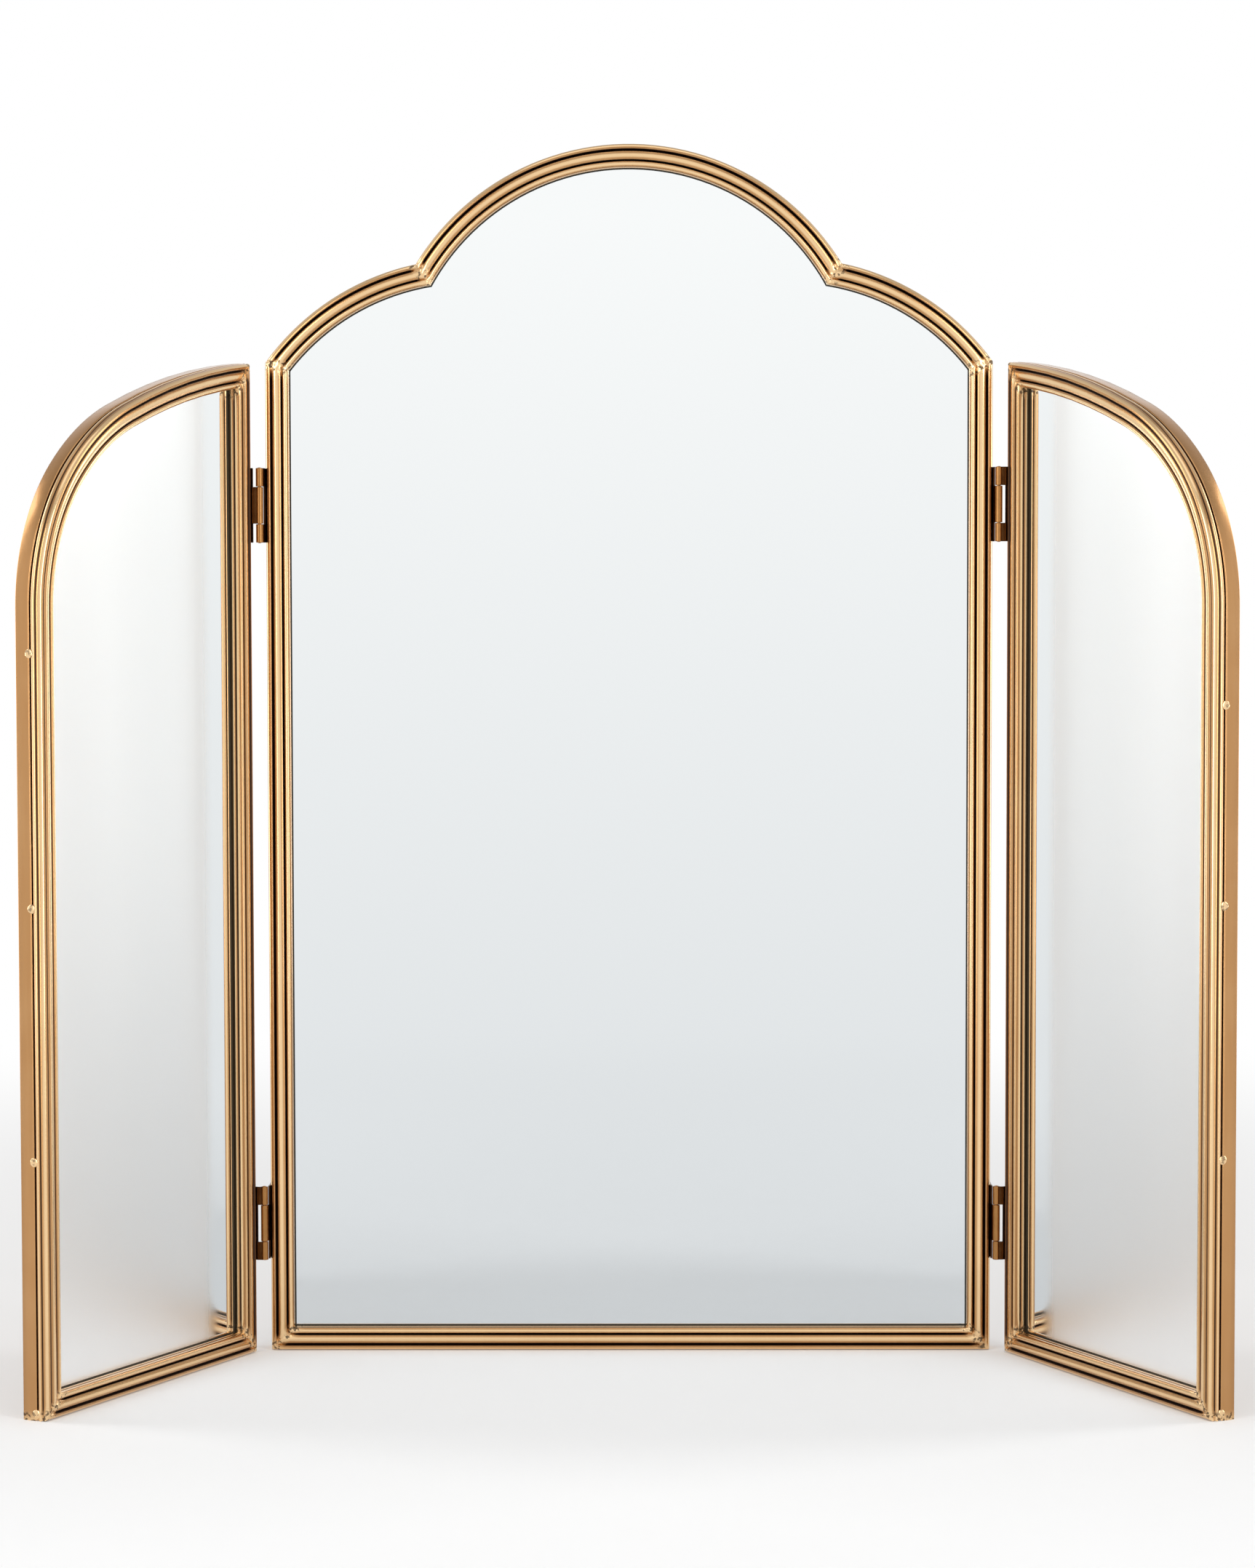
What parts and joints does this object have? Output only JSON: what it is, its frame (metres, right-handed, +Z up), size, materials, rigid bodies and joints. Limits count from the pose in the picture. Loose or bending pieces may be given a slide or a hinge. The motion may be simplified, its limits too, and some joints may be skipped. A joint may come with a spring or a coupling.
{
  "type": "folding dressing table mirror",
  "caption": "Free-standing dressing table mirror: arched centre panel in a ribbed gold metal frame, with a hinged wing on each side that folds over it.",
  "frame": {"origin": "middle of the flat underside of the centre panel's bottom rail, on the table", "axes": "+Z up; the mirrors face -Y; +X to the viewer's right"},
  "size_m": [0.7122, 0.2244, 0.767],
  "materials": {
    "frame_gold": "satin antique gold lacquer on rolled steel",
    "hinge_gold": "satin antique gold lacquer on steel",
    "mirror_glass": "silvered float glass, bright",
    "backing_board": "brown hardboard, matt"
  },
  "bodies": {
    "centre": {"centre_left_stile": "frame_gold", "centre_right_stile": "frame_gold", "centre_bottom_rail": "frame_gold", "centre_shoulders": "frame_gold", "centre_crown": "frame_gold", "centre_mirror_glass": "mirror_glass", "centre_backing_board": "backing_board", "centre_retaining_tabs": "frame_gold", "left_hinge_centre_leaves": "hinge_gold", "right_hinge_centre_leaves": "hinge_gold"},
    "left_wing": {"left_wing_hinge_post": "frame_gold", "left_wing_outer_rail": "frame_gold", "left_wing_bottom_rail": "frame_gold", "left_wing_mirror_glass": "mirror_glass", "left_wing_backing_board": "backing_board", "left_wing_retaining_tabs": "frame_gold", "left_hinge_wing_leaves": "hinge_gold", "left_hinge_pins": "hinge_gold"},
    "right_wing": {"right_wing_hinge_post": "frame_gold", "right_wing_outer_rail": "frame_gold", "right_wing_bottom_rail": "frame_gold", "right_wing_mirror_glass": "mirror_glass", "right_wing_backing_board": "backing_board", "right_wing_retaining_tabs": "frame_gold", "right_hinge_wing_leaves": "hinge_gold", "right_hinge_pins": "hinge_gold"}
  },
  "joints": [
    {"name": "left_wing_hinge", "type": "hinge", "parent": "centre", "child": "left_wing", "pos_m": [-0.2333, -0.016, 0.3115], "axis": [0, 0, 1], "range_deg": [-73, 117]},
    {"name": "right_wing_hinge", "type": "hinge", "parent": "centre", "child": "right_wing", "pos_m": [0.2333, -0.016, 0.3115], "axis": [0, 0, -1], "range_deg": [-73, 117]}
  ]
}
